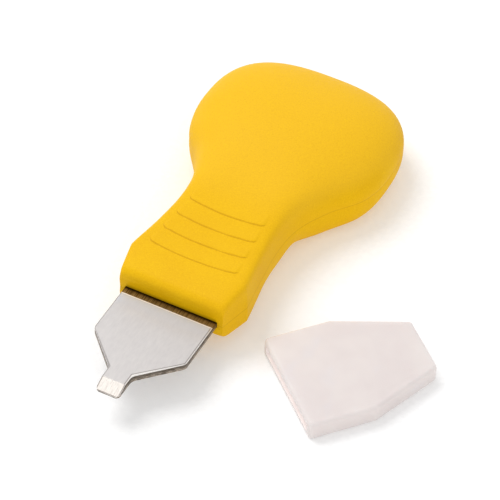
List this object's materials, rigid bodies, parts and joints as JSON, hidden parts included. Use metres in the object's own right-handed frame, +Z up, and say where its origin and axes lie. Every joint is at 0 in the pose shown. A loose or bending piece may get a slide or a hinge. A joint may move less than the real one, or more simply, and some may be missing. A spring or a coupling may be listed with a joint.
{
  "type": "watch case opener knife with blade cap",
  "caption": "Case-back knife with a short flat steel blade ending in a ground tongue, set in a palm-bulb handle of two shells, with a loose push-on blade cap beside it.",
  "frame": {"origin": "the point on the flat underside of the palm bulb 50 mm behind the handle's front face, on the surface the object stands on", "axes": "+Z up from the surface, +Y from the blade towards the back of the bulb, +X to the side on which the cap lies"},
  "size_m": [0.0748, 0.0997, 0.018],
  "materials": {
    "handle_upper": "satin moulded",
    "handle_lower": "satin moulded",
    "blade_steel": "fine brushed",
    "screw_steel": "zinc plated",
    "cap_plastic": "milky translucent"
  },
  "bodies": {
    "knife": {"upper_shell": "handle_upper", "lower_shell": "handle_lower", "blade": "blade_steel", "screw_front": "screw_steel", "screw_middle": "screw_steel", "screw_rear": "screw_steel"},
    "cap": {"cap": "cap_plastic"}
  },
  "joints": [
    {"name": "cap_lift", "type": "slide", "parent": "knife", "child": "cap", "axis": [0, 0, 1], "range_m": [0, 0.06]}
  ]
}
